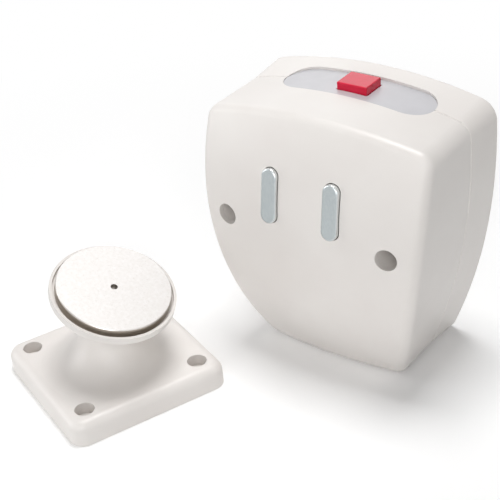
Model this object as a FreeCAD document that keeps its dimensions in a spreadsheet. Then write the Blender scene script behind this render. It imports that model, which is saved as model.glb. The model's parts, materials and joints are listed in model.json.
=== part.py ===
import FreeCAD
import Part
import Sketcher
import math
import os
import re
from FreeCAD import Placement, Rotation, Vector

# Electromagnetic door holder: a battery-run wall magnet and its swivel keeper plate.
# All lengths are in millimetres and all angles in degrees.
# X is to the right, Y goes back into the wall and Z is up.
# Heights in the sheet count from the bench the two halves stand on.
# The files are written with the origin midway between the two wall screw holes.

SIZES = [
    # Moulded housing of the wall magnet, shield shaped and crowned both ways.
    ("unit_height", 135), ("unit_width", 119.4), ("unit_depth", 73),
    ("top_radius", 230), ("side_radius", 285), ("bottom_radius", 700), ("widest_height", 109),
    ("crown_radius", 139), ("side_crown", 294), ("crown_height", 76),
    ("crown_sweep", 50), ("corner_round", 8.5), ("foot_round", 6), ("front_round", 5), ("rear_flare", 2),
    ("back_round", 1.2),
    ("wall", 2.8), ("back_wall", 3), ("rear_depth", 22.5), ("seam_chamfer", 0.45), ("overrun", 12),
    ("skim", 0.01), ("tip_gap", 1),
    # Wall screw wells through the housing.
    ("screw_pitch", 86), ("screw_height", 79.5), ("well_radius", 5.25), ("well_wall", 2), ("well_gap", 0.2),
    ("screw_hole_radius", 2.75),
    # Screws that hold the two mouldings together.
    ("boss_radius", 4.2), ("boss_top_x", 46), ("boss_top_drop", 18), ("boss_low_x", 30),
    ("boss_low_height", 11), ("case_screw_radius", 1.5), ("case_head_radius", 2.8),
    ("case_head_height", 2), ("case_screw_bite", 11), ("case_seat", 6), ("case_head_gap", 0.3),
    # Poles and magnet, square to the crown where they come through.
    ("pole_pitch", 32.6), ("pole_share", 0.7222), ("pole_width", 8.2), ("pole_length", 26.8),
    ("pole_proud", 1.8), ("pole_round", 0.9), ("pole_gap", 0.3), ("core_length", 45),
    ("bobbin_length", 35), ("bobbin_wall", 1), ("bobbin_flange", 1.5), ("bobbin_gap", 0.1),
    ("coil_build", 4.5), ("coil_inset", 0.4), ("yoke_thick", 6), ("yoke_margin", 3),
    ("core_bolt_radius", 2.5), ("core_bolt_bite", 14), ("core_head_radius", 4.2), ("core_head_height", 3.5),
    ("yoke_screw_radius", 2), ("yoke_screw_high", 10), ("yoke_screw_low", 0.5), ("yoke_screw_bite", 12),
    ("yoke_head_radius", 3.6), ("yoke_head_height", 2.6), ("post_radius", 4.6),
    # Label plate and release button on top.
    ("label_length", 78), ("label_width", 22.8), ("label_recess", 0.2), ("label_thick", 1.2),
    ("label_x", 2.4), ("label_gap", 0.12), ("label_ledge", 1.4), ("button_x", 2.8), ("button_long", 15.8),
    ("button_wide", 12.9), ("button_proud", 3.4), ("button_gap", 0.35), ("button_round", 0.5),
    ("button_skirt", 1.6), ("button_skirt_thick", 1.4), ("skirt_drop", 0.8), ("button_travel", 1.5),
    # Control board with its switch, lamp, microphone and driver.
    ("board_drop", 15.1), ("board_thick", 1.6), ("board_long", 76), ("board_front", 42),
    ("board_back", 5), ("shelf_thick", 6), ("shelf_width", 8), ("shelf_deep", 19),
    ("board_screw_radius", 1.2), ("board_head_radius", 2.3), ("board_head_height", 1.4),
    ("board_screw_bite", 5), ("board_screw_near", 3), ("board_screw_far", 12),
    ("switch_side", 12), ("switch_height", 4), ("plunger_radius", 3), ("plunger_gap", 0.05),
    ("plunger_rise", 2), ("plunger_deep", 1.2), ("plunger_room", 0.4),
    ("lamp_x", 22), ("lamp_radius", 2.5), ("lamp_height", 3),
    ("microphone_x", 24), ("microphone_radius", 4.8), ("microphone_height", 4),
    ("driver_side", 9), ("driver_height", 1.6), ("driver_x", 11), ("driver_ahead", 11),
    # Cells in their tray.
    ("cell_radius", 13.1), ("cell_length", 50), ("cell_pitch", 26.5), ("cell_nub_radius", 3.75),
    ("cell_nub_height", 1.5), ("cell_foot", 20.4), ("tray_wall", 1.4), ("contact_thick", 0.4),
    ("tray_front", 14), ("cell_gap", 0.15),
    # Keeper base, screwed to the door.
    ("keeper_x", -85.2), ("keeper_y", -117.5), ("keeper_turn", -22.6), ("plate_side", 82),
    ("plate_thick", 12.5), ("plate_corner", 7.5), ("plate_round", 5), ("plate_hole_pitch", 60.5),
    ("plate_hole_radius", 2.6), ("plate_bore_radius", 4.8), ("plate_bore_deep", 6),
    ("flare_foot", 36), ("flare_radius", 22.25), ("neck_top_radius", 14.5),
    # Swivel of the keeper: a ball in a liner in a socket, all on one centre.
    ("ball_height", 33), ("ball_radius", 9), ("liner_thick", 1.9), ("swivel_fit", 0.05),
    ("liner_half", 5.2), ("lip_height", 6), ("lip_rise", 2), ("lip_flare", 1.3),
    ("plug_radius", 11.6), ("plug_drop", 3), ("plug_flange_radius", 17.2), ("plug_flange_thick", 3),
    ("plug_recess_gap", 0.3), ("plug_screw_circle", 14.4), ("plug_screw_radius", 1.25),
    ("plug_screw_bite", 6), ("plug_head_radius", 2.2), ("plug_head_height", 1.2),
    ("stud_neck_radius", 4.5), ("stud_collar_radius", 6.5), ("stud_collar_thick", 1.2),
    ("stud_spigot_radius", 3.5), ("stud_screw_radius", 2), ("stud_head_radius", 3.4),
    ("stud_head_height", 3), ("stud_head_seat", 5), ("stud_head_gap", 0.2), ("stud_screw_bite", 3),
    ("cup_height", 15), ("cup_floor", 3.5), ("cup_radius", 30.4), ("cup_rim", 1.4), ("cup_rim_rise", 2),
    ("cup_bevel", 2), ("disc_radius", 27.7), ("disc_thick", 5), ("disc_hole_radius", 1.7),
    ("disc_bevel", 0.4), ("swivel_tilt", 20), ("swivel_heading", 0),
]

doc = FreeCAD.newDocument("door_holder")
sheet = doc.addObject("Spreadsheet::Sheet", "Sizes")
for row, (alias, value) in enumerate(SIZES, 1):
    sheet.set("A%d" % row, alias.replace("_", " "))
    sheet.set("B%d" % row, str(value))
    sheet.setAlias("B%d" % row, alias)
doc.recompute()
ALIASES = {alias for alias, value in SIZES}
NODES = []

# The board hangs at a fixed depth below the top.
BOARD = "unit_height - board_drop"

# How near an edge lies to a plane to count as on it, and how far off to count as clear of it.
NEAR = 0.01
CLEAR = 1


def bound(text):
    """The text of a size, with each sheet alias named in full for an expression."""
    return re.sub(r"[a-z_]+", lambda m: "Sizes." + m.group(0) if m.group(0) in ALIASES else m.group(0), text)


def number(text):
    """The value of a size, for first positions in a sketch."""
    value = sheet.evalExpression(bound(text))
    return float(getattr(value, "Value", value))


def bind(thing, prop, text):
    thing.setExpression(prop, bound(text))


def put(thing, x="0", y="0", z="0", axis=None, angle="0"):
    """Places a piece, with its position and turn bound to the sheet."""
    turn = Rotation(axis, number(angle)) if axis else thing.Placement.Rotation
    thing.Placement = Placement(Vector(number(x), number(y), number(z)), turn)
    for name, text in (("x", x), ("y", y), ("z", z)):
        bind(thing, "Placement.Base." + name, text)
    if axis:
        bind(thing, "Placement.Rotation.Angle", angle)
    return thing


def block(name, long, wide, high, x, y, z):
    """A box, from its corner of least x, y and z."""
    thing = doc.addObject("Part::Box", name)
    bind(thing, "Length", long)
    bind(thing, "Width", wide)
    bind(thing, "Height", high)
    return put(thing, x, y, z)


TURNS = {"z": Rotation(), "y": Rotation(Vector(1, 0, 0), -90), "-y": Rotation(Vector(1, 0, 0), 90)}


def rod(name, radius, length, x, y, z, along="z"):
    """A cylinder from the middle of one end."""
    thing = doc.addObject("Part::Cylinder", name)
    bind(thing, "Radius", radius)
    bind(thing, "Height", length)
    thing.Placement = Placement(Vector(), TURNS[along])
    return put(thing, x, y, z)


def ball(name, radius, z="0"):
    thing = doc.addObject("Part::Sphere", name)
    bind(thing, "Radius", radius)
    return put(thing, "0", "0", z)


def cone(name, low, high, length, z):
    thing = doc.addObject("Part::Cone", name)
    bind(thing, "Radius1", low)
    bind(thing, "Radius2", high)
    bind(thing, "Height", length)
    return put(thing, "0", "0", z)


def joined(name, pieces):
    thing = doc.addObject("Part::MultiFuse", name)
    thing.Shapes = pieces
    thing.Refine = True
    return thing


def shared(name, pieces):
    thing = doc.addObject("Part::MultiCommon", name)
    thing.Shapes = pieces
    return thing


def less(name, base, tools):
    """The base with one or more tools cut out of it."""
    thing = doc.addObject("Part::Cut", name)
    thing.Base = base
    if len(tools) == 1:
        thing.Tool = tools[0]
    else:
        group = doc.addObject("Part::Compound", name + "_tools")
        group.Links = tools
        thing.Tool = group
    return thing


def together(name, pieces):
    """Identical fasteners kept as one piece."""
    thing = doc.addObject("Part::Compound", name)
    thing.Links = pieces
    return thing


def angle_of(point, middle):
    return math.atan2(point[1] - middle[1], point[0] - middle[0])


def profile(name, corners, arcs, turn):
    """A closed sketch. Corners are pairs of sizes; arcs maps a side to its radius, hand and any middle."""
    thing = doc.addObject("Sketcher::SketchObject", name)
    thing.Placement = Placement(Vector(), turn)
    points = [(number(x), number(y)) for x, y in corners]
    ends = []
    for i, a in enumerate(points):
        b = points[(i + 1) % len(points)]
        if i not in arcs:
            thing.addGeometry(Part.LineSegment(Vector(a[0], a[1], 0), Vector(b[0], b[1], 0)), False)
            ends.append((1, 2))
            continue
        radius, hand = number(arcs[i][0]), arcs[i][1]
        half = math.hypot(b[0] - a[0], b[1] - a[1]) / 2
        rise = math.sqrt(max(radius ** 2 - half ** 2, 0))
        side = hand * rise / (2 * half)
        middle = ((a[0] + b[0]) / 2 - (b[1] - a[1]) * side, (a[1] + b[1]) / 2 + (b[0] - a[0]) * side)
        first, last = (a, b) if hand > 0 else (b, a)
        circle = Part.Circle(Vector(middle[0], middle[1], 0), Vector(0, 0, 1), radius)
        thing.addGeometry(Part.ArcOfCircle(circle, angle_of(first, middle), angle_of(last, middle)), False)
        ends.append((1, 2) if hand > 0 else (2, 1))
    total = len(points)
    for i in range(total):
        after = (i + 1) % total
        thing.addConstraint(Sketcher.Constraint("Coincident", i, ends[i][1], after, ends[after][0]))
    for i, (x, y) in enumerate(corners):
        for kind, axis, text in (("DistanceX", -2, x), ("DistanceY", -1, y)):
            if text == "0":
                thing.addConstraint(Sketcher.Constraint("PointOnObject", i, ends[i][0], axis))
                continue
            index = thing.addConstraint(Sketcher.Constraint(kind, -1, 1, i, ends[i][0], number(text)))
            bind(thing, "Constraints[%d]" % index, text)
    for i, arc in arcs.items():
        if len(arc) > 2:
            index = thing.addConstraint(Sketcher.Constraint("DistanceX", -1, 1, i, 3, number(arc[2])))
        else:
            index = thing.addConstraint(Sketcher.Constraint("Radius", i, number(arc[0])))
        bind(thing, "Constraints[%d]" % index, arc[-1] if len(arc) > 2 else arc[0])
    return thing


FLAT = Rotation()
FRONT = Rotation(Vector(1, 0, 0), 90)
SIDE = Rotation(Vector(1, 1, 1), 120)
UPRIGHT = Rotation(Vector(1, 1, 1), 240)


def drawn_out(name, base, length):
    """A sketch drawn out along its own normal."""
    thing = doc.addObject("Part::Extrusion", name)
    thing.Base = base
    thing.DirMode = "Normal"
    thing.Solid = True
    bind(thing, "LengthFwd", length)
    return thing


def turned(name, corners, arcs=None):
    """A piece turned about the upright axis from a profile of radius and height."""
    thing = doc.addObject("Part::Revolution", name)
    thing.Source = profile(name + "_profile", corners, arcs or {}, FRONT)
    thing.Axis = Vector(0, 0, 1)
    thing.Angle = 360
    thing.Solid = True
    return thing


def slot(name, length, width, deep, turn, y="0", z="0", x="0"):
    """A bar with round ends, drawn out from its middle."""
    reach = "(%s)/2 - (%s)/2" % (length, width)
    half = "(%s)/2" % width
    back = "-(%s)" % reach
    low = "-(%s)" % half
    ends = {1: (half, 1, reach), 3: (half, 1, back)}
    base = profile(name + "_outline", [(back, low), (reach, low), (reach, half), (back, half)], ends, turn)
    put(base, x, y, z)
    return drawn_out(name, base, deep)


def rounded(name, source, steps):
    """A body on a base shape, placed as that is, with fillets or chamfers on the edges each step picks."""
    body = doc.addObject("PartDesign::Body", name)
    body.BaseFeature = source
    body.Placement = source.Placement
    for path, text in source.ExpressionEngine:
        if "Placement" in path:
            body.setExpression(path, text)
    doc.recompute()
    last = body.Group[0]
    for count, (kind, prop, text, pick) in enumerate(steps):
        edges = ["Edge%d" % (i + 1) for i, edge in enumerate(last.Shape.Edges) if pick(edge, last.Shape)]
        thing = body.newObject("PartDesign::" + kind, "%s_%s%d" % (name, kind.lower(), count))
        thing.Base = (last, edges)
        bind(thing, prop, text)
        body.Tip = thing
        doc.recompute()
        last = thing
    return body


def upright(edge, shape):
    return edge.BoundBox.ZLength > CLEAR


def on_top(edge, shape):
    return edge.BoundBox.ZMin > shape.BoundBox.ZMax - NEAR


def keep(node, thing):
    """Marks a finished piece, whose label names its file."""
    thing.Label = node
    NODES.append(thing)


# Housing.

def corner_arc(one, other, small, way):
    """The middle of a small circle that touches two large ones from inside, at one corner."""
    (ax, ay, ar), (bx, by, br) = one, other
    near, far = ar - small, br - small
    gap = math.hypot(bx - ax, by - ay)
    along = (near ** 2 - far ** 2 + gap ** 2) / (2 * gap)
    off = math.sqrt(near ** 2 - along ** 2)
    ux, uy = (bx - ax) / gap, (by - ay) / gap
    found = [(ax + along * ux - side * off * uy, ay + along * uy + side * off * ux) for side in (1, -1)]
    return max(found, key=lambda point: point[0] * way[0] + point[1] * way[1])


def touch(middle, radius, inside):
    """Where a large circle touches a small one inside it."""
    reach = radius / math.hypot(inside[0] - middle[0], inside[1] - middle[1])
    return (middle[0] + (inside[0] - middle[0]) * reach, middle[1] + (inside[1] - middle[1]) * reach)


def shield(name, inset, back):
    """The shield outline: four arcs with round corners on fixed middles, all smaller by the inset."""
    thing = doc.addObject("Sketcher::SketchObject", name)
    thing.Placement = Placement(Vector(), FRONT)
    put(thing, "0", "-(%s)" % back, "0")
    sizes = [
        ("unit_width/2 - side_radius", "widest_height", "side_radius - (%s)" % inset),
        ("0", "unit_height - top_radius", "top_radius - (%s)" % inset),
        ("side_radius - unit_width/2", "widest_height", "side_radius - (%s)" % inset),
        ("0", "bottom_radius", "bottom_radius - (%s)" % inset),
    ]
    rounds = ["%s - (%s)" % (place, inset)
              for place in ("corner_round", "corner_round", "foot_round", "foot_round")]
    small = [number(text) for text in rounds]
    circles = [tuple(number(t) for t in size) for size in sizes]
    corners = [((1, 1), (0, 1)), ((-1, 1), (1, 2)), ((-1, -1), (2, 3)), ((1, -1), (3, 0))]
    corners = [corner_arc(circles[one], circles[other], size, way)
               for size, (way, (one, other)) in zip(small, corners)]
    for i, (mx, my, radius) in enumerate(circles):
        before, after = corners[i - 1], corners[i]
        for middle, size, first, last in (
                ((mx, my), radius, touch((mx, my), radius, before), touch((mx, my), radius, after)),
                (after, small[i], touch((mx, my), radius, after),
                 touch(circles[(i + 1) % 4][:2], circles[(i + 1) % 4][2], after))):
            circle = Part.Circle(Vector(middle[0], middle[1], 0), Vector(0, 0, 1), size)
            arc = Part.ArcOfCircle(circle, angle_of(first, middle), angle_of(last, middle))
            thing.addGeometry(arc, False)
    for i in range(8):
        thing.addConstraint(Sketcher.Constraint("Tangent", i, 2, (i + 1) % 8, 1))
    for i, (x, y, radius) in enumerate(sizes):
        for kind, axis, text in (("DistanceX", -2, x), ("DistanceY", -1, y)):
            if text == "0":
                thing.addConstraint(Sketcher.Constraint("PointOnObject", 2*i, 3, axis))
                continue
            index = thing.addConstraint(Sketcher.Constraint(kind, -1, 1, 2*i, 3, number(text)))
            bind(thing, "Constraints[%d]" % index, text)
        for arc, text in ((2*i, radius), (2*i + 1, rounds[i])):
            index = thing.addConstraint(Sketcher.Constraint("Radius", arc, number(text)))
            bind(thing, "Constraints[%d]" % index, text)
    return thing


def crown(name, inset):
    """Everything behind the crowned front: an upright arc swept round an upright axis far behind it."""
    radius = "crown_radius - (%s)" % inset
    middle = "crown_radius - unit_depth"
    low, high = "-overrun", "unit_height + overrun"
    front_low = "%s - sqrt((%s)^2 - (crown_height + overrun)^2)" % (middle, radius)
    front_high = "%s - sqrt((%s)^2 - (unit_height + overrun - crown_height)^2)" % (middle, radius)
    corners = [(front_high, high), (front_low, low), ("overrun", low), ("overrun", high)]
    thing = doc.addObject("Part::Revolution", name)
    thing.Source = profile(name + "_profile", corners, {0: (radius, 1)}, SIDE)
    thing.Axis = Vector(0, 0, 1)
    bind(thing, "Base.y", "side_crown - unit_depth")
    bind(thing, "Angle", "crown_sweep")
    thing.Symmetric = True
    thing.Solid = True
    return thing


def on_front(edge, shape):
    return edge.BoundBox.YMax < -number("rear_depth") - CLEAR


def on_back(edge, shape):
    return edge.BoundBox.YMin > -NEAR


def on_seam(edge, shape):
    level = -number("rear_depth")
    box = edge.BoundBox
    if abs(box.YMin - level) > NEAR or abs(box.YMax - level) > NEAR:
        return False
    for face in shape.Faces:
        if abs(face.BoundBox.YMin - level) < NEAR and face.BoundBox.YLength < NEAR:
            return any(edge.isSame(other) for other in face.OuterWire.Edges)
    return False


def two_part(name, inset, back_inset, back):
    """The shield drawn out forwards from the seam and lofted to its flared back."""
    seam = shield(name + "_seam", inset, "rear_depth")
    flared = doc.addObject("Part::Loft", name + "_rear")
    flared.Sections = [seam, shield(name + "_back", back_inset, back)]
    flared.Solid = True
    flared.Ruled = True
    return joined(name + "_both", [drawn_out(name + "_front", seam, "unit_depth"), flared])


def case_points():
    return [("%sboss_%s_x" % (sign, place), height) for sign in ("", "-")
            for place, height in (("top", "unit_height - boss_top_drop"), ("low", "boss_low_height"))]


def housing():
    outside = rounded("housing_outside", shared("housing_solid", [
        two_part("housing", "0", "-rear_flare", "0"), crown("housing_crown", "0")]), [
        ("Fillet", "Radius", "front_round", on_front),
        ("Fillet", "Radius", "back_round", on_back)])
    hollow = shared("cavity", [
        two_part("cavity", "wall", "wall - rear_flare*(1 - back_wall/rear_depth)", "back_wall"),
        crown("cavity_crown", "wall")])
    shell = less("shell", outside, [hollow])
    wide, high = "unit_width + 2*overrun", "unit_height + 2*overrun"
    rear = block("rear_half", wide, "rear_depth + overrun", high,
                 "-unit_width/2 - overrun", "-rear_depth", "-overrun")
    wells, bores, holes = [], [], []
    for i, sign in enumerate(("-", "")):
        x = sign + "screw_pitch/2"
        tube = "well_radius + well_wall"
        z = "screw_height"
        wells.append(rod("well%d" % i, tube, "unit_depth", x, "-back_wall/2", z, "-y"))
        bores.append(rod("well_bore%d" % i, "well_radius", "unit_depth", x, "-back_wall", z, "-y"))
        holes.append(rod("wall_hole%d" % i, "screw_hole_radius", "2*overrun", x, "-overrun", z, "y"))
    bosses, pilots, posts, heads, shafts = [], [], [], [], []
    for i, (x, z) in enumerate(case_points()):
        bosses.append(rod("boss%d" % i, "boss_radius", "unit_depth", x, "-rear_depth", z, "-y"))
        pilots.append(rod("pilot%d" % i, "case_screw_radius", "case_screw_bite", x, "-rear_depth", z, "-y"))
        posts.append(rod("case_post%d" % i, "boss_radius", "rear_depth", x, "0", z, "-y"))
        heads.append(rod("head_bore%d" % i, "case_head_radius + case_head_gap", "rear_depth - case_seat",
                         x, "0", z, "-y"))
        shafts.append(rod("shaft_bore%d" % i, "case_screw_radius", "rear_depth", x, "0", z, "-y"))
    pocket, opening = label_space()
    poles = [leaning(flat_bar("pole_slot%d" % i, sign, "pole_gap", "-overrun", "2*overrun"))
             for i, sign in enumerate(("-", ""))]
    bevel = [("Chamfer", "Size", "seam_chamfer", on_seam)]
    cover = rounded("cover_rough", less("cover_half", shell, [rear]), bevel)
    columns = shared("cover_bosses", [joined("boss_group", bosses), crown("column_crown", "wall/2")])
    full = joined("cover_full", [cover, columns])
    keep("front_cover", less("front_cover", full, bores + pilots + [pocket, opening] + poles))
    back = rounded("back_rough", shared("back_half", [shell, rear]), bevel)
    shelves = []
    for i, x in enumerate(("board_long/2 - shelf_width", "-board_long/2")):
        shelves.append(block("shelf%d" % i, "shelf_width", "shelf_deep", "shelf_thick",
                             x, "-back_wall - shelf_deep", BOARD + " - shelf_thick"))
    shelf_pilots = [rod("shelf_pilot%d" % i, "board_screw_radius", "board_screw_bite", x, y,
                        BOARD + " - board_screw_bite") for i, (x, y) in enumerate(board_points())]
    stands, tapped = [], []
    for i, z in enumerate(("yoke_screw_high", "-yoke_screw_low")):
        start = "core_length + yoke_thick"
        stand = rod("magnet_post%d" % i, "post_radius", "unit_depth", "0", start, z, "y")
        pilot = rod("post_pilot%d" % i, "yoke_screw_radius", "yoke_screw_bite", "0", start, z, "y")
        stands.append(leaning(stand))
        tapped.append(leaning(pilot))
    magnet_posts = shared("magnet_posts", [joined("magnet_post_pair", stands), outside])
    tubes = shared("well_tubes", [joined("well_pair", wells), crown("tube_crown", "wall + well_gap")])
    full_back = joined("back_full", [back] + posts + shelves + [magnet_posts, tubes])
    cuts = bores + holes + heads + shafts + shelf_pilots + tapped + [pocket, opening]
    keep("back_box", less("back_box", full_back, cuts))
    screws = []
    for i, (x, z) in enumerate(case_points()):
        screws.append(joined("case_screw%d" % i, [
            rod("case_head%d" % i, "case_head_radius", "case_head_height", x,
                "-(rear_depth - case_seat) + case_head_height", z, "-y"),
            rod("case_shaft%d" % i, "case_screw_radius", "case_seat + case_screw_bite - tip_gap", x,
                "-(rear_depth - case_seat)", z, "-y")]))
    keep("case_screws", together("case_screws", screws))


# Label plate and release button.

def label_space():
    """The pocket for the label plate, with an arched floor, and the smaller opening below it."""
    tall = "4*overrun"
    low = "unit_height - 3*overrun"
    deep = "2*label_width"
    room = slot("pocket_prism", "label_length + 2*label_gap", "label_width + 2*label_gap", tall, FLAT,
                "-rear_depth", low, "label_x")
    floor = rod("pocket_floor", "top_radius - label_recess - label_thick", deep, "0",
                "-rear_depth - label_width", "unit_height - top_radius", "y")
    opening = slot("label_opening", "label_length - 2*label_ledge", "label_width - 2*label_ledge", tall,
                   FLAT, "-rear_depth", low, "label_x")
    return less("label_pocket", room, [floor]), opening


def label_and_button():
    deep = "2*label_width"
    middle = "unit_height - top_radius"
    prism = slot("label_prism", "label_length", "label_width", "4*overrun", FLAT, "-rear_depth",
                 "unit_height - 3*overrun", "label_x")
    front = "-rear_depth - label_width"
    over = rod("label_face", "top_radius - label_recess", deep, "0", front, middle, "y")
    under = rod("label_back", "top_radius - label_recess - label_thick", deep, "0", front, middle, "y")
    hole = block("button_hole", "button_long + 2*button_gap", "button_wide + 2*button_gap", "4*overrun",
                 "button_x - button_long/2 - button_gap", "-rear_depth - button_wide/2 - button_gap",
                 "unit_height - 3*overrun")
    keep("label_plate", less("label_plate", shared("label_arched", [prism, over]), [under, hole]))
    skirt_top = "unit_height - label_recess - label_thick - skirt_drop"
    plunger_top = BOARD + " + board_thick + switch_height + plunger_rise"
    cap = block("button_cap", "button_long", "button_wide", "unit_height + button_proud - (%s)" % skirt_top,
                "button_x - button_long/2", "-rear_depth - button_wide/2", skirt_top)
    soft = rounded("button_soft", cap, [
        ("Fillet", "Radius", "button_round", upright),
        ("Fillet", "Radius", "button_round", on_top)])
    skirt = block("button_flange", "button_long + 2*button_skirt", "button_wide + 2*button_skirt",
                  "button_skirt_thick", "button_x - button_long/2 - button_skirt",
                  "-rear_depth - button_wide/2 - button_skirt", "%s - button_skirt_thick" % skirt_top)
    stem = rod("button_stem", "plunger_radius", "%s - (%s)" % (skirt_top, plunger_top),
               "button_x", "-rear_depth", plunger_top)
    keep("release_button", joined("release_button", [soft, skirt, stem]))


# Control board.

def board_points():
    return [("%s(board_long/2 - shelf_width/2)" % sign, "-%s - board_back" % near)
            for sign in ("", "-") for near in ("board_screw_near", "board_screw_far")]


def control_board():
    top = BOARD + " + board_thick"
    plate = block("board_blank", "board_long", "board_front - board_back", "board_thick", "-board_long/2",
                  "-board_front", BOARD)
    holes = [rod("board_hole%d" % i, "board_screw_radius", "2*overrun", x, y, BOARD + " - overrun")
             for i, (x, y) in enumerate(board_points())]
    keep("control_board", less("control_board", plate, holes))
    screws = []
    for i, (x, y) in enumerate(board_points()):
        screws.append(joined("board_screw%d" % i, [
            rod("board_head%d" % i, "board_head_radius", "board_head_height", x, y, top),
            rod("board_shaft%d" % i, "board_screw_radius", "board_thick + board_screw_bite - tip_gap", x, y,
                BOARD + " - board_screw_bite + tip_gap")]))
    keep("board_screws", together("board_screws", screws))
    case = block("switch_case", "switch_side", "switch_side", "switch_height", "button_x - switch_side/2",
                 "-rear_depth - switch_side/2", top)
    bore = rod("switch_bore", "plunger_radius + plunger_gap", "switch_height", "button_x", "-rear_depth",
               "%s + switch_height - plunger_deep - button_travel - plunger_room" % top)
    keep("push_switch", less("push_switch", case, [bore]))
    keep("switch_plunger", rod("switch_plunger", "plunger_radius", "plunger_rise + plunger_deep", "button_x",
                               "-rear_depth", "%s + switch_height - plunger_deep" % top))
    lamp = rod("lamp_stem", "lamp_radius", "lamp_height", "-lamp_x", "-rear_depth", top)
    dome = put(ball("lamp_dome", "lamp_radius"), "-lamp_x", "-rear_depth", "%s + lamp_height" % top)
    keep("status_lamp", joined("status_lamp", [lamp, dome]))
    keep("microphone", rod("microphone", "microphone_radius", "microphone_height", "microphone_x",
                           "-rear_depth", top))
    keep("driver_chip", block("driver_chip", "driver_side", "driver_side", "driver_height",
                              "-driver_x - driver_side/2",
                              "-rear_depth - driver_ahead - driver_side/2", top))


# Magnet, built square to its own pole faces and then leaned with the crown.

POLE_FACE = ("-unit_depth + (pole_share*unit_height - crown_height)^2/(2*crown_radius)"
             " + (pole_pitch/2)^2/(2*side_crown) - pole_proud")
LEAN = "-asin((pole_share*unit_height - crown_height)/crown_radius)"


def leaning(thing):
    """Moves a piece from the magnet's own frame to its place behind the front cover."""
    turn = Rotation(Vector(1, 0, 0), number(LEAN))
    if thing.isDerivedFrom("Part::Primitive"):
        wrap = doc.addObject("Part::Compound", thing.Name + "_lean")
        wrap.Links = [thing]
        thing = wrap
    thing.Placement = Placement(Vector(0, number(POLE_FACE), number("pole_share*unit_height")), turn)
    bind(thing, "Placement.Base.y", POLE_FACE)
    bind(thing, "Placement.Base.z", "pole_share*unit_height")
    bind(thing, "Placement.Rotation.Angle", LEAN)
    return thing


def flat_bar(name, sign, grow, start, length):
    """A bar of the pole's section, wider by the given amount all round, in the magnet's own frame."""
    return slot(name, "pole_length + 2*(%s)" % grow, "pole_width + 2*(%s)" % grow, length,
                UPRIGHT, start, "0", sign + "pole_pitch/2")


def magnet():
    back = "core_length + yoke_thick"
    for side, sign in (("left", "-"), ("right", "")):
        x = sign + "pole_pitch/2"
        bar = flat_bar("core_bar_" + side, sign, "0", "0", "core_length")
        soft = rounded("core_soft_" + side, bar, [
            ("Fillet", "Radius", "pole_round", lambda edge, shape: edge.BoundBox.YMax < NEAR)])
        tapped = rod("core_tap_" + side, "core_bolt_radius", "core_bolt_bite", x, "core_length", "0", "-y")
        keep("pole_" + side, leaning(less("pole_" + side, soft, [tapped])))
        start = "core_length - bobbin_length"
        tube = "bobbin_gap + bobbin_wall"
        rim = "bobbin_gap + bobbin_wall + coil_build"
        spool = joined("spool_" + side, [
            flat_bar("spool_tube_" + side, sign, tube, start, "bobbin_length"),
            flat_bar("spool_front_" + side, sign, rim, start, "bobbin_flange"),
            flat_bar("spool_back_" + side, sign, rim, "core_length - bobbin_flange", "bobbin_flange")])
        way = flat_bar("spool_way_" + side, sign, "bobbin_gap", "-overrun", "core_length + 2*overrun")
        keep("bobbin_" + side, leaning(less("bobbin_" + side, spool, [way])))
        wire_start = start + " + bobbin_flange"
        wire_long = "bobbin_length - 2*bobbin_flange"
        wire = flat_bar("wire_" + side, sign, rim + " - coil_inset", wire_start, wire_long)
        inside = flat_bar("wire_way_" + side, sign, tube, wire_start, wire_long)
        keep("winding_" + side, leaning(less("winding_" + side, wire, [inside])))
    half = "pole_pitch/2 + pole_width/2 + yoke_margin"
    bar = block("yoke_bar", "2*(%s)" % half, "yoke_thick", "pole_length",
                "-(%s)" % half, "core_length", "-pole_length/2")
    ahead = "core_length - yoke_thick/2"
    holes, bolts, screws = [], [], []
    for i, x in enumerate(("-pole_pitch/2", "pole_pitch/2")):
        holes.append(rod("yoke_core_hole%d" % i, "core_bolt_radius", "2*yoke_thick", x, ahead, "0", "y"))
        bolts.append(joined("core_bolt%d" % i, [
            rod("core_head%d" % i, "core_head_radius", "core_head_height", x, back, "0", "y"),
            rod("core_shaft%d" % i, "core_bolt_radius", "yoke_thick + core_bolt_bite - tip_gap",
                x, back, "0", "-y")]))
    for i, z in enumerate(("yoke_screw_high", "-yoke_screw_low")):
        holes.append(rod("yoke_post_hole%d" % i, "yoke_screw_radius", "2*yoke_thick", "0", ahead, z, "y"))
        screws.append(joined("yoke_screw%d" % i, [
            rod("yoke_head%d" % i, "yoke_head_radius", "yoke_head_height", "0", "core_length", z, "-y"),
            rod("yoke_shaft%d" % i, "yoke_screw_radius", "yoke_thick + yoke_screw_bite - tip_gap",
                "0", "core_length", z, "y")]))
    keep("magnet_yoke", leaning(less("magnet_yoke", bar, holes)))
    keep("core_bolts", leaning(together("core_bolts", bolts)))
    keep("yoke_screws", leaning(together("yoke_screws", screws)))


# Cells in their tray.

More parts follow.
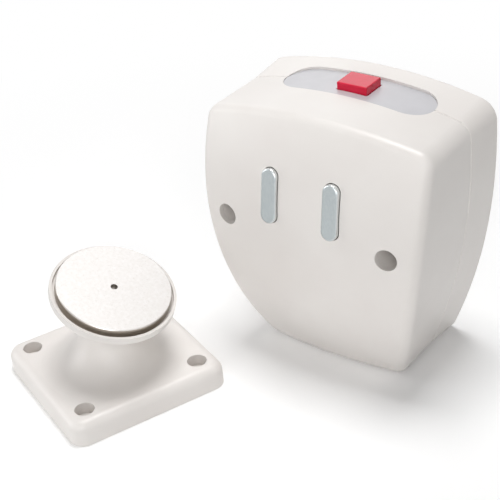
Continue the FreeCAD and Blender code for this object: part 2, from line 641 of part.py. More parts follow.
def cells():
    half = "cell_pitch + cell_radius + cell_gap"
    foot = "cell_foot - contact_thick"
    tall = "cell_length + 2*contact_thick"
    middle = "-back_wall - tray_wall - cell_gap - cell_radius"
    box = block("tray_box", "2*(%s + tray_wall)" % half, "tray_front + tray_wall", "%s + 2*tray_wall" % tall,
                "-(%s + tray_wall)" % half, "-back_wall - tray_front - tray_wall", "%s - tray_wall" % foot)
    room = block("tray_room", "2*(%s)" % half, "tray_front + overrun", tall, "-(%s)" % half,
                 "-back_wall - tray_wall - tray_front - overrun", foot)
    keep("cell_tray", less("cell_tray", box, [room]))
    for node, x in (("cell_left", "-cell_pitch"), ("cell_middle", "0"), ("cell_right", "cell_pitch")):
        can = rod(node + "_can", "cell_radius", "cell_length - cell_nub_height", x, middle, "cell_foot")
        nub = rod(node + "_nub", "cell_nub_radius", "cell_nub_height", x, middle,
                  "cell_foot + cell_length - cell_nub_height")
        keep(node, joined(node, [can, nub]))
    strips = [block("contact%d" % i, "2*(cell_pitch + cell_nub_radius)", "2*cell_nub_radius",
                    "contact_thick", "-cell_pitch - cell_nub_radius", "%s - cell_nub_radius" % middle, z)
              for i, z in enumerate((foot, "cell_foot + cell_length"))]
    keep("cell_contacts", together("cell_contacts", strips))


# Keeper.

def on_door(thing):
    """Moves a piece from the keeper's own frame to its place on the bench."""
    thing.Placement = Placement(Vector(number("keeper_x"), number("keeper_y"), 0),
                                Rotation(Vector(0, 0, 1), number("keeper_turn")))
    bind(thing, "Placement.Base.x", "keeper_x")
    bind(thing, "Placement.Base.y", "keeper_y")
    bind(thing, "Placement.Rotation.Angle", "keeper_turn")
    return thing


def on_ball(thing):
    """Moves a piece from the ball's own frame to its place, leaned over as it was left."""
    heading = math.radians(number("swivel_heading"))
    axis = Vector(-math.sin(heading), math.cos(heading), 0)
    return put(thing, "keeper_x", "keeper_y", "ball_height", axis, "swivel_tilt")


def plate_points():
    return [("%splate_hole_pitch/2" % a, "%splate_hole_pitch/2" % b) for a in ("", "-") for b in ("", "-")]


def plug_points():
    return [("plug_screw_circle*cos(%d)" % a, "plug_screw_circle*sin(%d)" % a) for a in (90, 210, 330)]


def keeper_base():
    slab = block("plate_slab", "plate_side", "plate_side", "plate_thick",
                 "-plate_side/2", "-plate_side/2", "0")
    soft = rounded("plate_soft", slab, [
        ("Fillet", "Radius", "plate_corner", upright),
        ("Fillet", "Radius", "plate_round", on_top)])
    neck_top = "ball_height + lip_height + lip_rise"
    pedestal = turned("pedestal", [
        ("0", "plate_thick/2"), ("flare_foot", "plate_thick/2"), ("flare_foot", "plate_thick"),
        ("neck_top_radius", neck_top), ("0", neck_top)], {2: ("flare_radius", -1)})
    socket = "ball_radius + liner_thick + 3*swivel_fit"
    mouth = "sqrt((%s)^2 - lip_height^2)" % socket
    cuts = [ball("socket_ball", socket, "ball_height"),
            rod("socket_way", socket, "ball_height + overrun", "0", "0", "-overrun"),
            rod("plug_way", "plug_radius", "ball_height - plug_drop + overrun", "0", "0", "-overrun"),
            rod("flange_room", "plug_flange_radius + plug_recess_gap",
                "plug_flange_thick + plug_recess_gap + overrun", "0", "0", "-overrun"),
            cone("lip_relief", mouth, mouth + " + lip_flare", "lip_rise + skim", "ball_height + lip_height")]
    for i, (x, y) in enumerate(plate_points()):
        cuts.append(rod("plate_hole%d" % i, "plate_hole_radius", "2*plate_thick", x, y, "-overrun"))
        cuts.append(rod("plate_bore%d" % i, "plate_bore_radius", "plate_bore_deep + overrun", x, y,
                        "plate_thick - plate_bore_deep"))
    for i, (x, y) in enumerate(plug_points()):
        deep = "plug_screw_bite + plug_flange_thick"
        cuts.append(rod("plug_tap%d" % i, "plug_screw_radius", deep, x, y, "0"))
    keep("keeper_base", on_door(less("keeper_base", joined("keeper_solid", [soft, pedestal]), cuts)))


def keeper_plug():
    low = "plug_recess_gap"
    solid = joined("plug_solid", [
        rod("plug_flange", "plug_flange_radius", "plug_flange_thick", "0", "0", low),
        rod("plug_barrel", "plug_radius", "ball_height - plug_drop - (%s)" % low, "0", "0", low)])
    cuts = [ball("plug_seat", "ball_radius + liner_thick + 3*swivel_fit", "ball_height")]
    screws = []
    for i, (x, y) in enumerate(plug_points()):
        cuts.append(rod("plug_hole%d" % i, "plug_screw_radius", "2*plug_flange_thick", x, y, "0"))
        cuts.append(rod("plug_head_room%d" % i, "plug_head_radius", "plug_head_height + " + low, x, y, "0"))
        screws.append(joined("plug_screw%d" % i, [
            rod("plug_head%d" % i, "plug_head_radius", "plug_head_height", x, y, low),
            rod("plug_shaft%d" % i, "plug_screw_radius",
                "plug_flange_thick + plug_screw_bite - tip_gap - " + low, x, y, low)]))
    keep("socket_plug", on_door(less("socket_plug", solid, cuts)))
    keep("plug_screws", on_door(together("plug_screws", screws)))


def keeper_swivel():
    inner = "ball_radius + swivel_fit"
    outer = "ball_radius + swivel_fit + liner_thick"
    band = rod("liner_band", "2*ball_radius", "2*liner_half", "0", "0", "-liner_half")
    ring = less("liner_ring", ball("liner_out", outer), [ball("liner_in", inner)])
    keep("ball_liner", on_ball(shared("ball_liner", [ring, band])))
    floor = "cup_height + cup_floor"
    stud = joined("stud_solid", [
        ball("stud_ball", "ball_radius"),
        rod("stud_neck", "stud_neck_radius", "cup_height", "0", "0", "0"),
        rod("stud_collar", "stud_collar_radius", "stud_collar_thick", "0", "0",
            "cup_height - stud_collar_thick"),
        rod("stud_spigot", "stud_spigot_radius", "cup_floor", "0", "0", "cup_height")])
    keep("ball_stud", on_ball(less("ball_stud", stud, [
        rod("stud_way", "stud_screw_radius", "2*ball_radius + cup_height + overrun", "0", "0",
            "-2*ball_radius"),
        rod("stud_head_room", "stud_head_radius + stud_head_gap", "ball_radius", "0", "0",
            "-stud_head_seat - ball_radius")])))
    rim_top = "%s + cup_rim_rise" % floor
    dish = turned("cup_dish", [
        ("stud_spigot_radius", "cup_height"), ("cup_radius - 1.5*cup_bevel", "cup_height"),
        ("cup_radius", "cup_height + cup_bevel"), ("cup_radius", rim_top),
        ("cup_radius - cup_rim", rim_top), ("cup_radius - cup_rim", floor), ("stud_spigot_radius", floor)])
    keep("keeper_cup", on_ball(dish))
    face = "%s + disc_thick" % floor
    disc = turned("disc_blank", [
        ("disc_hole_radius", floor), ("disc_radius", floor), ("disc_radius", face + " - disc_bevel"),
        ("disc_radius - disc_bevel", face), ("disc_hole_radius", face)])
    keep("armature_disc", on_ball(less("armature_disc", disc, [
        rod("disc_tap", "stud_screw_radius", "stud_screw_bite + overrun", "0", "0",
            "%s - overrun" % floor)])))
    keep("stud_screw", on_ball(joined("stud_screw", [
        rod("stud_head", "stud_head_radius", "stud_head_height", "0", "0",
            "-stud_head_seat - stud_head_height"),
        rod("stud_shaft", "stud_screw_radius", "stud_head_seat + %s + stud_screw_bite - tip_gap" % floor,
            "0", "0", "-stud_head_seat")])))


housing()
label_and_button()
control_board()
magnet()
cells()
keeper_base()
keeper_plug()
keeper_swivel()
doc.recompute()

for thing in doc.Objects:
    if "Invalid" in thing.State or "Error" in thing.State:
        raise RuntimeError("%s did not build: %s" % (thing.Name, thing.getStatusString()))

os.makedirs("parts", exist_ok=True)
for thing in NODES:
    shape = thing.Shape.copy()
    if shape.isNull() or not shape.isValid() or not shape.Solids:
        raise RuntimeError("%s has no sound shape" % thing.Label)
    if len(shape.Solids) == 1:
        shape = shape.Solids[0]
    shape.translate(Vector(0, 0, -number("screw_height")))
    shape.exportStep("parts/%s.step" % thing.Label)
print("%d pieces written" % len(NODES))
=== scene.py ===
import bpy
import json
import math
from mathutils import Matrix, Vector


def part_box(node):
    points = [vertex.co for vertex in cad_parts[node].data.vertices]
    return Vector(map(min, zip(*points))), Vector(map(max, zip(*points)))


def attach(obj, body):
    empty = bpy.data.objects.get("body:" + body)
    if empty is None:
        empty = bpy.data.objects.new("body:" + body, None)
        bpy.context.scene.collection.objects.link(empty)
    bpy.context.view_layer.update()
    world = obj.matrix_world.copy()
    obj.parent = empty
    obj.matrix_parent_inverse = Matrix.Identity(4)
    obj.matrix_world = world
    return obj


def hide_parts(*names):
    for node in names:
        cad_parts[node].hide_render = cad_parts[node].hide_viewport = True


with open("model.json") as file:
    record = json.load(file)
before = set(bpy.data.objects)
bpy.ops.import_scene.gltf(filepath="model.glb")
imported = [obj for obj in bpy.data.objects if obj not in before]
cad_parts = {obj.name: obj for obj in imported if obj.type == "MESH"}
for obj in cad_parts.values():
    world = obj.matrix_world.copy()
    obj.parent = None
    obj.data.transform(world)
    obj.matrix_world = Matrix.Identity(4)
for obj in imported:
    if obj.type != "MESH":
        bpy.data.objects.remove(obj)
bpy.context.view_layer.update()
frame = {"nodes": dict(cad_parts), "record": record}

# Electromagnetic door holder: a white moulded wall magnet with its swivel keeper plate.
# The frame is in metres. X is to the right, Y goes back into the wall and Z is up.
# The bench that the set stands on is at the underside of the keeper base.

MM = 0.001
NODES = frame["nodes"]
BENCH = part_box("keeper_base")[0][2]


# Small helpers.

def colour(code):
    """An sRGB hex value as linear red, green, blue and alpha."""
    parts = [int(code[i:i + 2], 16) / 255 for i in (0, 2, 4)]
    return [c / 12.92 if c <= 0.04045 else ((c + 0.055) / 1.055) ** 2.4 for c in parts] + [1.0]


def add(tree, kind, inputs=None, **settings):
    """Adds a node with its settings, and gives each named input a value or another node's output."""
    node = tree.nodes.new(kind)
    for name, value in settings.items():
        setattr(node, name, value)
    for name, value in (inputs or {}).items():
        if isinstance(value, bpy.types.NodeSocket):
            tree.links.new(value, node.inputs[name])
        else:
            node.inputs[name].default_value = value
    return node


# Materials.

NOISE_DETAIL = 3.0


def surface(name, tints, gloss, fine, broad=None, depth=0.0, span=(0.3, 0.7), **sockets):
    """A material whose colour drifts over a broad pattern, and whose gloss and relief follow a fine one.

    Tints are two hex values and gloss two roughnesses. Fine and broad are the patterns' sizes along
    X, Y and Z, and depth is the height of the relief, all in millimetres. Span is where in the pattern
    the colour changes. What else is given goes to the shader's own sockets.
    """
    made = bpy.data.materials.new(name)
    made.use_nodes = True
    tree = made.node_tree
    shader = tree.nodes["Principled BSDF"]
    for socket, value in sockets.items():
        shader.inputs[socket.replace("_", " ")].default_value = value
    place = add(tree, "ShaderNodeTexCoord", name="place").outputs["Object"]
    noise = {}
    for title, size in (("fine", fine), ("broad", broad or fine)):
        spread = add(tree, "ShaderNodeMapping", {"Vector": place, "Scale": [1 / (s * MM) for s in size]})
        inputs = {"Vector": spread.outputs["Vector"], "Scale": 1.0, "Detail": NOISE_DETAIL}
        noise[title] = add(tree, "ShaderNodeTexNoise", inputs, name=title).outputs["Fac"]
    ramp = add(tree, "ShaderNodeValToRGB", {"Fac": noise["broad"]}, name="tint")
    for step, position, code in zip(ramp.color_ramp.elements, span, tints):
        step.position = position
        step.color = colour(code)
    tree.links.new(ramp.outputs["Color"], shader.inputs["Base Color"])
    inputs = {"Value": noise["fine"], "To Min": gloss[0], "To Max": gloss[1]}
    rough = add(tree, "ShaderNodeMapRange", inputs, name="gloss")
    tree.links.new(rough.outputs["Result"], shader.inputs["Roughness"])
    if depth:
        bump = add(tree, "ShaderNodeBump", {"Height": noise["fine"], "Distance": depth * MM}, name="relief")
        tree.links.new(bump.outputs["Normal"], shader.inputs["Normal"])
    return made


def painted_flank_light(made, axis, fleck):
    """Paints light and shade by facing: a material gets its second colour where it faces along an axis, and
    its first on its flanks.

    Fleck is how strongly the broad pattern adds to that.
    """
    tree = made.node_tree
    normal = tree.nodes["place"].outputs["Normal"]
    dot = add(tree, "ShaderNodeVectorMath", {0: normal, 1: axis}, operation="DOT_PRODUCT")
    flat = add(tree, "ShaderNodeMath", {0: dot.outputs["Value"]}, operation="ABSOLUTE")
    inputs = {0: tree.nodes["broad"].outputs["Fac"], 1: fleck, 2: flat.outputs[0]}
    shade = add(tree, "ShaderNodeMath", inputs, operation="MULTIPLY_ADD")
    share = add(tree, "ShaderNodeMapRange", {"Value": shade.outputs[0], "From Max": 1 + fleck})
    tree.links.new(share.outputs["Result"], tree.nodes["tint"].inputs["Fac"])


def patterned(made, kind, values, **settings):
    """Gives a material's colour and its relief another pattern in place of the noise."""
    tree = made.node_tree
    inputs = {"Vector": tree.nodes["place"].outputs["Object"], **values}
    pattern = add(tree, kind, inputs, **settings).outputs["Fac"]
    tree.links.new(pattern, tree.nodes["tint"].inputs["Fac"])
    tree.links.new(pattern, tree.nodes["relief"].inputs["Height"])


# The ways that the poles and the disc face.
LEAN = math.radians(8.67)
POLE_AXIS = (0, math.cos(LEAN), -math.sin(LEAN))
TILT = math.radians(20)
DISC_AXIS = (math.sin(TILT), 0, math.cos(TILT))

# The wire and the weave, in millimetres. At a scale of one, a wave texture has about 3.2 bands to the unit.
WIRE = 0.6
WAVE_BANDS = 3.2
WIRE_WAVE = {"Scale": 1 / (WIRE * MM) / WAVE_BANDS, "Distortion": 0.6}
WEAVE = 0.5


# Finishes, by the material slot of the record. A grain too fine to show is drawn at 0.4 mm or more.

FINISHES = {}

# White ABS from a spark-eroded mould: satin, with a grain that softens each highlight.
# The real grain is near 0.1 mm and is drawn coarser so that it shows.
FINISHES["moulded_white"] = surface(
    "moulded_white_abs", tints=("e4dfdb", "e9e5e1"), gloss=(0.32, 0.44),
    fine=(0.7, 0.7, 0.7), broad=(38, 38, 38), depth=0.012, IOR=1.54)

# Grey polycarbonate sheet with a velvet face: even, and paler where light grazes it.
FINISHES["label_grey"] = surface(
    "velvet_polycarbonate", tints=("bbbabe", "c1c0c4"), gloss=(0.28, 0.4),
    fine=(0.45, 0.45, 0.45), broad=(9, 9, 9), depth=0.006,
    IOR=1.58, Coat_Weight=0.15, Coat_Roughness=0.3)

# Red ABS off a polished mould: deep colour at the sides, with a pale sheen on the top.
FINISHES["button_red"] = surface(
    "polished_red_abs", tints=("cc0030", "d80438"), gloss=(0.16, 0.26),
    fine=(0.5, 0.5, 0.5), broad=(6, 6, 6), depth=0.003, IOR=1.47)

# Bright zinc on drawn steel bar: bluish grey and faintly mottled, with soft drawing lines. The paler flanks
# are a painted highlight.
FINISHES["zinc_poles"] = surface(
    "bright_zinc_plate", tints=("dadddd", "b1b8ba"), gloss=(0.14, 0.3),
    fine=(0.5, 0.5, 7), broad=(0.9, 0.9, 1.8), depth=0.0015, span=(0.25, 0.92), Metallic=1.0)
painted_flank_light(FINISHES["zinc_poles"], POLE_AXIS, fleck=0.35)

# Satin nickel over a ground steel face: nearly white under a soft light and faintly mottled. The darker edge
# is painted shade.
FINISHES["plated_disc"] = surface(
    "satin_nickel_plate", tints=("a8a096", "cecccb"), gloss=(0.24, 0.34),
    fine=(0.4, 0.4, 0.4), broad=(1.6, 1.6, 1.6), depth=0.0015, span=(0.2, 0.95), Metallic=1.0)
painted_flank_light(FINISHES["plated_disc"], DISC_AXIS, fleck=0.6)

# Machined mild steel: mid grey and half dull, with turning marks.
FINISHES["mild_steel"] = surface(
    "machined_steel", tints=("86878a", "9c9da0"), gloss=(0.3, 0.48),
    fine=(0.6, 3.6, 0.6), depth=0.006, Metallic=1.0)

# Zinc-plated screw steel: pale grey, with slight clouding.
FINISHES["screw_steel"] = surface(
    "zinc_plated_screw", tints=("a4a6aa", "c3c5c8"), gloss=(0.24, 0.4),
    fine=(0.9, 0.9, 0.9), Metallic=1.0)

# Enamelled copper wire, wound in close turns: ribbed, with a lacquer gloss. The darker colour in the grooves
# between the turns is painted shade.
FINISHES["copper_wire"] = surface(
    "enamelled_copper_wire", tints=("9c4f22", "d98a4c"), gloss=(0.2, 0.34),
    fine=(2, 0.6, 2), depth=0.2, span=(0.1, 0.9),
    Metallic=1.0, Coat_Weight=0.6, Coat_Roughness=0.12)
patterned(FINISHES["copper_wire"], "ShaderNodeTexWave", WIRE_WAVE, bands_direction="Y")

# Unfilled nylon: warm cream and waxy, because light sinks into it a little.
FINISHES["bobbin_nylon"] = surface(
    "natural_nylon", tints=("d8d0b8", "e2dbc6"), gloss=(0.35, 0.5),
    fine=(0.5, 0.5, 0.5), broad=(6, 6, 6),
    IOR=1.53, Subsurface_Weight=0.15, Subsurface_Scale=0.002)

# Green solder mask on glass laminate: glossy, with the weave just showing.
FINISHES["board_green"] = surface(
    "green_solder_mask", tints=("0d4a22", "11552a"), gloss=(0.25, 0.4),
    fine=(0.6, 0.6, 0.6), depth=0.004, span=(0.0, 1.0),
    IOR=1.5, Coat_Weight=0.4, Coat_Roughness=0.15)
patterned(FINISHES["board_green"], "ShaderNodeTexChecker", {"Scale": 1 / (WEAVE * MM)})

# Glass-filled black nylon: matte, with faint pale flow marks.
FINISHES["black_parts"] = surface(
    "glass_filled_black_nylon", tints=("151515", "222222"), gloss=(0.45, 0.62),
    fine=(4, 4, 20), depth=0.008, IOR=1.53)

# Natural acetal: cool white, with a soft low gloss.
FINISHES["white_acetal"] = surface(
    "natural_acetal", tints=("e6e7e4", "eeefec"), gloss=(0.3, 0.42),
    fine=(0.5, 0.5, 0.5), broad=(5, 5, 5),
    IOR=1.48, Subsurface_Weight=0.1, Subsurface_Scale=0.002)

# Diffused red epoxy: milky, with a clear gloss.
FINISHES["lamp_red"] = surface(
    "diffused_red_epoxy", tints=("c22a22", "d2382c"), gloss=(0.1, 0.18),
    fine=(1.5, 1.5, 1.5), IOR=1.54, Subsurface_Weight=0.3, Subsurface_Scale=0.002)

# Drawn aluminium can: bright, with lines along the draw.
FINISHES["sensor_can"] = surface(
    "drawn_aluminium", tints=("c6c7c9", "d6d7d9"), gloss=(0.22, 0.36),
    fine=(0.4, 0.4, 4), Metallic=1.0)

# Plain shrink film on a cell: dark, glossy and a little uneven.
FINISHES["cell_jacket"] = surface(
    "shrink_film", tints=("23262b", "2c3037"), gloss=(0.22, 0.36),
    fine=(7, 7, 21), depth=0.03, IOR=1.54, Coat_Weight=0.3, Coat_Roughness=0.2)

# Nickelled brass strip: pale yellow, rolled along its length.
FINISHES["contact_brass"] = surface(
    "nickelled_brass_strip", tints=("c9bd92", "d8cda6"), gloss=(0.22, 0.38),
    fine=(4.8, 0.4, 0.4), Metallic=1.0)

for row in frame["record"]["subparts"]:
    NODES[row["node"]].data.materials.clear()
    NODES[row["node"]].data.materials.append(FINISHES[row["material_slot"]])


# Screws, made by one tree of geometry nodes: a pan head with a cross recess on a tapered, threaded shank.

SIZES = ("Head Radius", "Head Height", "Shank Radius", "Shank Length", "Thread Pitch")

# Every other length of a screw is a share of one of its sizes.
SHARES = {
    "head_middle": ("Head Height", 0.5),
    "slot_long": ("Head Radius", 1.2),
    "slot_wide": ("Head Radius", 0.3),
    "slot_deep": ("Head Height", 1.2),
    "core_root": ("Shank Radius", 0.82),
    "core_tip": ("Shank Radius", 0.4),
    "core_drop": ("Shank Length", -1.0),
    "thread_run": ("Shank Length", 0.9),
    "thread_root": ("Shank Radius", 0.8),
    "thread_tip": ("Shank Radius", 0.45),
    "thread_drop": ("Shank Length", -0.97),
    "ridge": ("Shank Radius", 0.2),
}
CROWN_POWER = 4.0
CROWN_FALL = -0.4


def screw_tree():
    """A tree that sets one screw on each point, with its head up before it is turned."""
    tree = bpy.data.node_groups.new("tapping_screw", "GeometryNodeTree")
    tree.interface.new_socket("Points", in_out="INPUT", socket_type="NodeSocketGeometry")
    for name in SIZES:
        tree.interface.new_socket(name, in_out="INPUT", socket_type="NodeSocketFloat")
    tree.interface.new_socket("Turn", in_out="INPUT", socket_type="NodeSocketRotation")
    tree.interface.new_socket("Metal", in_out="INPUT", socket_type="NodeSocketMaterial")
    tree.interface.new_socket("Screws", in_out="OUTPUT", socket_type="NodeSocketGeometry")
    given = add(tree, "NodeGroupInput").outputs
    wide, tall, deep = given["Head Radius"], given["Head Height"], given["Shank Length"]
    part = {}
    for title, (size, share) in SHARES.items():
        part[title] = add(tree, "ShaderNodeMath", {0: given[size], 1: share}, operation="MULTIPLY").outputs[0]

    # The head's crown falls away to the rim as a power of the radius.
    place = add(tree, "GeometryNodeInputPosition").outputs[0]
    height = add(tree, "ShaderNodeSeparateXYZ", {0: place}).outputs["Z"]
    level = add(tree, "ShaderNodeVectorMath", {0: place, 1: (1, 1, 0)}, operation="MULTIPLY").outputs[0]
    radius = add(tree, "ShaderNodeVectorMath", {0: level}, operation="LENGTH").outputs["Value"]
    reach = add(tree, "ShaderNodeMath", {0: radius, 1: wide}, operation="DIVIDE").outputs[0]
    bend = add(tree, "ShaderNodeMath", {0: reach, 1: CROWN_POWER}, operation="POWER").outputs[0]
    slope = add(tree, "ShaderNodeMath", {0: height, 1: CROWN_FALL}, operation="MULTIPLY").outputs[0]
    part["crown_fall"] = add(tree, "ShaderNodeMath", {0: bend, 1: slope}, operation="MULTIPLY").outputs[0]

    # How far each shape moves along the screw.
    along = {}
    for title, rise in (("head", part["head_middle"]), ("crown", part["crown_fall"]), ("slot", tall),
                        ("core", part["core_drop"]), ("thread", part["thread_drop"])):
        along[title] = add(tree, "ShaderNodeCombineXYZ", {"Z": rise}).outputs[0]

    # The head is a short cylinder with a crown and two crossed slots.
    inputs = {"Vertices": 32, "Side Segments": 3, "Fill Segments": 6, "Radius": wide, "Depth": tall}
    blank = add(tree, "GeometryNodeMeshCylinder", inputs).outputs["Mesh"]
    blank = add(tree, "GeometryNodeTransform", {"Geometry": blank, "Translation": along["head"]}).outputs[0]
    head = add(tree, "GeometryNodeSetPosition", {"Geometry": blank, "Offset": along["crown"]}).outputs[0]
    for x, y in (("slot_long", "slot_wide"), ("slot_wide", "slot_long")):
        arm = add(tree, "ShaderNodeCombineXYZ", {"X": part[x], "Y": part[y], "Z": part["slot_deep"]})
        cutter = add(tree, "GeometryNodeMeshCube", {"Size": arm.outputs[0]}).outputs["Mesh"]
        inputs = {"Geometry": cutter, "Translation": along["slot"]}
        cutter = add(tree, "GeometryNodeTransform", inputs).outputs[0]
        inputs = {"Mesh 1": head, "Mesh 2": cutter}
        head = add(tree, "GeometryNodeMeshBoolean", inputs,
                   operation="DIFFERENCE", solver="EXACT").outputs["Mesh"]

    # The shank is a cone, and the thread a three-sided ridge along a spiral that narrows to the tip.
    inputs = {"Vertices": 24, "Radius Top": part["core_root"], "Radius Bottom": part["core_tip"],
              "Depth": deep}
    core = add(tree, "GeometryNodeMeshCone", inputs).outputs["Mesh"]
    core = add(tree, "GeometryNodeTransform", {"Geometry": core, "Translation": along["core"]}).outputs[0]
    inputs = {0: part["thread_run"], 1: given["Thread Pitch"]}
    turns = add(tree, "ShaderNodeMath", inputs, operation="DIVIDE").outputs[0]
    inputs = {"Resolution": 20, "Rotations": turns, "Height": part["thread_run"],
              "Start Radius": part["thread_tip"], "End Radius": part["thread_root"]}
    helix = add(tree, "GeometryNodeCurveSpiral", inputs).outputs["Curve"]
    helix = add(tree, "GeometryNodeSetCurveNormal", {"Curve": helix}, mode="Z_UP").outputs[0]
    inputs = {"Resolution": 3, "Radius": part["ridge"]}
    ridge = add(tree, "GeometryNodeCurvePrimitiveCircle", inputs).outputs["Curve"]
    inputs = {"Curve": helix, "Profile Curve": ridge, "Fill Caps": True}
    thread = add(tree, "GeometryNodeCurveToMesh", inputs).outputs[0]
    inputs = {"Geometry": thread, "Translation": along["thread"]}
    thread = add(tree, "GeometryNodeTransform", inputs).outputs[0]

    whole = add(tree, "GeometryNodeJoinGeometry")
    for shape in (thread, core, head):
        tree.links.new(shape, whole.inputs[0])
    inputs = {"Points": given["Points"], "Instance": whole.outputs[0], "Rotation": given["Turn"]}
    spread = add(tree, "GeometryNodeInstanceOnPoints", inputs).outputs[0]
    plain = add(tree, "GeometryNodeRealizeInstances", {"Geometry": spread}).outputs[0]
    plated = add(tree, "GeometryNodeSetMaterial", {"Geometry": plain, "Material": given["Metal"]}).outputs[0]
    add(tree, "NodeGroupOutput", {"Screws": plated})
    return tree


def screws(name, node, seats, turn, sizes):
    """One set of screws in place of a node. Seats and sizes are in millimetres and turns in degrees."""
    mesh = bpy.data.meshes.new(name)
    mesh.from_pydata([[v * MM for v in seat] for seat in seats], [], [])
    piece = bpy.data.objects.new(name, mesh)
    bpy.context.scene.collection.objects.link(piece)
    layer = piece.modifiers.new("screws", "NODES")
    layer.node_group = TAPPING_SCREW
    values = {title: size * MM for title, size in zip(SIZES, sizes)}
    values["Turn"] = [math.radians(a) for a in turn]
    values["Metal"] = FINISHES["screw_steel"]
    for socket in TAPPING_SCREW.interface.items_tree:
        if socket.in_out == "INPUT" and socket.name in values:
            layer[socket.identifier] = values[socket.name]
    made = bpy.data.meshes.new_from_object(piece.evaluated_get(bpy.context.evaluated_depsgraph_get()))
    piece.modifiers.clear()
    piece.data = made
    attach(piece, "fixed")
    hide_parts(node)


TAPPING_SCREW = screw_tree()

# The sets of screws, with each row of sizes in the order of SIZES.
CASE_SCREW = (2.8, 2.0, 1.5, 16.0, 1.3)
BOARD_SCREW = (2.3, 1.4, 1.2, 5.6, 1.0)
PLUG_SCREW = (2.2, 1.2, 1.25, 6.5, 1.0)
HEAD_BACK = (-90, 0, 0)
HEAD_UP = (0, 0, 0)
HEAD_DOWN = (180, 0, 0)

# Where the undersides of their heads sit, in millimetres and degrees. Heights are given from the bench,
# which lies this far below the frame's zero.
BENCH_TO_ZERO = -BENCH / MM
CASE_Y = -16.5
CASE_X_Z = ((46, 117), (-46, 117), (30, 11), (-30, 11))
BOARD_X = (34, -34)
BOARD_Y = (-8, -17)
BOARD_Z = 121.5
KEEPER_X, KEEPER_Y, KEEPER_TURN = -85.2, -117.5, -22.6
PLUG_CIRCLE = 14.4
PLUG_ANGLES = [math.radians(a + KEEPER_TURN) for a in (90, 210, 330)]
PLUG_Z = 1.5

case_seats = [(x, CASE_Y, z - BENCH_TO_ZERO) for x, z in CASE_X_Z]
board_seats = [(x, y, BOARD_Z - BENCH_TO_ZERO) for x in BOARD_X for y in BOARD_Y]
plug_seats = [(KEEPER_X + PLUG_CIRCLE * math.cos(a), KEEPER_Y + PLUG_CIRCLE * math.sin(a),
               PLUG_Z - BENCH_TO_ZERO) for a in PLUG_ANGLES]
screws("case_screw_set", "case_screws", case_seats, HEAD_BACK, CASE_SCREW)
screws("board_screw_set", "board_screws", board_seats, HEAD_UP, BOARD_SCREW)
screws("plug_screw_set", "plug_screws", plug_seats, HEAD_DOWN, PLUG_SCREW)


# Floor, world and lamps.

FLOOR_SIDE = 12.0

# How white the floor is to rays that only light the object, and to rays that see it directly.
PAPER = 0.9
FLOOR_WHITE = 1.1

# The floor fades to plain white between these two distances from the middle of the set.
MIDDLE = (-0.03, -0.08, BENCH)
FADE = (0.16, 0.42)

# The world's strength to rays that only light the object. Seen directly, it is white.
DOME = 0.05


def seen_directly(tree):
    """One where a ray comes from the camera, a mirror or glass, and nought where it only lights."""
    path = add(tree, "ShaderNodeLightPath").outputs
    inputs = {0: path["Is Camera Ray"], 1: path["Is Glossy Ray"]}
    both = add(tree, "ShaderNodeMath", inputs, operation="ADD")
    inputs = {0: both.outputs[0], 1: path["Is Transmission Ray"]}
    return add(tree, "ShaderNodeMath", inputs, operation="ADD", use_clamp=True).outputs[0]


def white_floor():
    """A plain white sweep that keeps the object's shadow."""
    half = FLOOR_SIDE / 2
    corners = [(-half, -half, BENCH), (half, -half, BENCH), (half, half, BENCH), (-half, half, BENCH)]
    mesh = bpy.data.meshes.new("floor")
    mesh.from_pydata(corners, [], [(0, 1, 2, 3)])
    floor = bpy.data.objects.new("floor", mesh)
    bpy.context.scene.collection.objects.link(floor)
    made = bpy.data.materials.new("white_paper_sweep")
    made.use_nodes = True
    tree = made.node_tree
    shader = tree.nodes["Principled BSDF"]
    shader.inputs["Roughness"].default_value = 0.9
    shader.inputs["Specular IOR Level"].default_value = 0.1
    seen = seen_directly(tree)
    white = add(tree, "ShaderNodeMapRange", {"Value": seen, "To Min": PAPER, "To Max": FLOOR_WHITE})
    tree.links.new(white.outputs["Result"], shader.inputs["Base Color"])
    # Away from the object the sweep fades to plain white, so that no edge or horizon shows.
    place = add(tree, "ShaderNodeTexCoord").outputs["Object"]
    away = add(tree, "ShaderNodeVectorMath", {0: place, 1: MIDDLE}, operation="DISTANCE")
    inputs = {"Value": away.outputs["Value"], "From Min": FADE[0], "From Max": FADE[1]}
    fade = add(tree, "ShaderNodeMapRange", inputs, interpolation_type="SMOOTHSTEP")
    share = add(tree, "ShaderNodeMath", {0: fade.outputs["Result"], 1: seen}, operation="MULTIPLY")
    glow = add(tree, "ShaderNodeEmission", {"Strength": 1.0})
    inputs = {"Fac": share.outputs[0], 1: shader.outputs["BSDF"], 2: glow.outputs["Emission"]}
    both = add(tree, "ShaderNodeMixShader", inputs)
    tree.links.new(both.outputs["Shader"], tree.nodes["Material Output"].inputs["Surface"])
    mesh.materials.append(made)


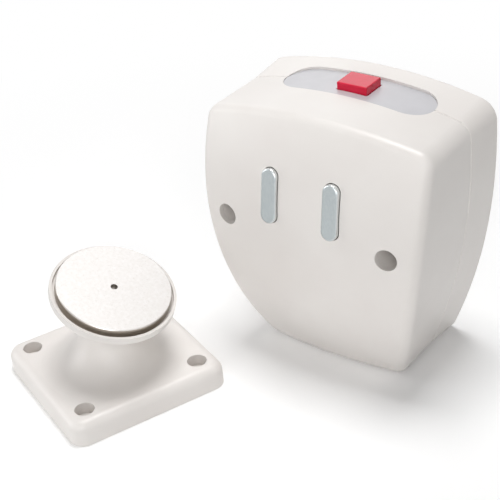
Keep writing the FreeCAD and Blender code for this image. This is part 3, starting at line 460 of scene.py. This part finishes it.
def white_world():
    """A world that is white where it is seen, and gives only a little light of its own."""
    world = bpy.data.worlds.new("white_world")
    bpy.context.scene.world = world
    world.use_nodes = True
    tree = world.node_tree
    level = add(tree, "ShaderNodeMapRange", {"Value": seen_directly(tree), "To Min": DOME, "To Max": 1.0})
    tree.links.new(level.outputs["Result"], tree.nodes["Background"].inputs["Strength"])
    tree.nodes["Background"].inputs["Color"].default_value = (1, 1, 1, 1)


def lamp(name, place, aim, side, power):
    """A square soft box that looks at a point, with its side in metres and its power in watts."""
    light = bpy.data.lights.new(name, "AREA")
    light.shape = "SQUARE"
    light.size = side
    light.energy = power
    holder = bpy.data.objects.new(name, light)
    holder.location = place
    holder.rotation_euler = (Vector(aim) - Vector(place)).to_track_quat("-Z", "Y").to_euler()
    bpy.context.scene.collection.objects.link(holder)


white_floor()
white_world()
lamp("overhead_box", place=(-0.04, 0.06, 1.2), aim=(-0.03, -0.05, -0.06), side=0.5, power=9.4)
lamp("rear_box", place=(-0.70, 0.74, 0.75), aim=(-0.03, -0.06, -0.03), side=1.0, power=2.7)
lamp("front_box", place=(0.30, -1.35, 0.32), aim=(0, -0.05, -0.02), side=1.0, power=5.6)
lamp("key_box", place=(0.80, -1.05, 0.75), aim=(0, -0.05, -0.02), side=0.6, power=4.0)
lamp("left_box", place=(-1.15, -0.75, 0.35), aim=(-0.03, -0.08, -0.03), side=0.8, power=5.2)
lamp("side_box", place=(1.30, -0.25, 0.30), aim=(0, -0.05, 0), side=0.9, power=1.1)


# Camera, as fitted to the photograph. Angles are in degrees, and the lens and sensor in millimetres.

EYE = Vector((0.2807, -0.4657, 0.2966))
HEADING, LOOK_DOWN, ROLL = 38.256, 31.855, -5.224
LENS, SENSOR = 90, 36
NEAR = 0.01


def camera():
    """The scene's camera: turned to its heading, lowered to the set and rolled a little."""
    data = bpy.data.cameras.new("camera")
    data.lens = LENS
    data.sensor_width = SENSOR
    data.clip_start = NEAR
    holder = bpy.data.objects.new("camera", data)
    heading = Matrix.Rotation(math.radians(HEADING), 4, "Z")
    lowered = Matrix.Rotation(math.radians(90 - LOOK_DOWN), 4, "X")
    rolled = Matrix.Rotation(math.radians(ROLL), 4, "Z")
    holder.matrix_world = Matrix.Translation(EYE) @ (heading @ lowered @ rolled)
    bpy.context.scene.collection.objects.link(holder)
    bpy.context.scene.camera = holder


camera()
bpy.context.scene.view_settings.view_transform = "Standard"
